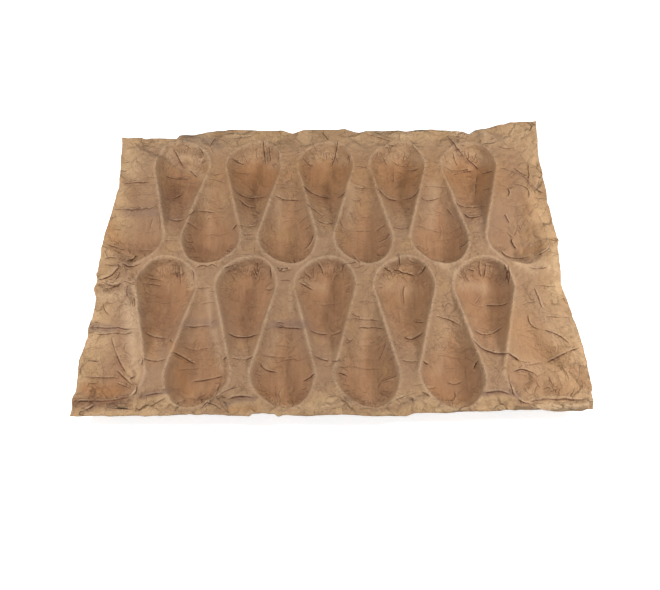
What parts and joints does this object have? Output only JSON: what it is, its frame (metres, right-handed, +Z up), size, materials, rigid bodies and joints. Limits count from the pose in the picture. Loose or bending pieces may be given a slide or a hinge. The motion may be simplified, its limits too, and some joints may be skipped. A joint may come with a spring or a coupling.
{
  "type": "pulp fruit tray",
  "caption": "Pressed kraft paper tray liner with rows of pear-shaped cups turned alternate ways, which holds fruit apart in a shipping box.",
  "frame": {"origin": "centre of the sheet's bounding box, on the plane that the cups' feet stand on", "axes": "+X along the rows of cups, to the right; +Y across the rows, to the back edge; +Z up, out of the cups"},
  "size_m": [0.396, 0.294, 0.0298],
  "materials": {
    "kraft_paper": "matte, uncoated, creased"
  },
  "bodies": {
    "root": {"fruit_tray": "kraft_paper"}
  },
  "joints": []
}
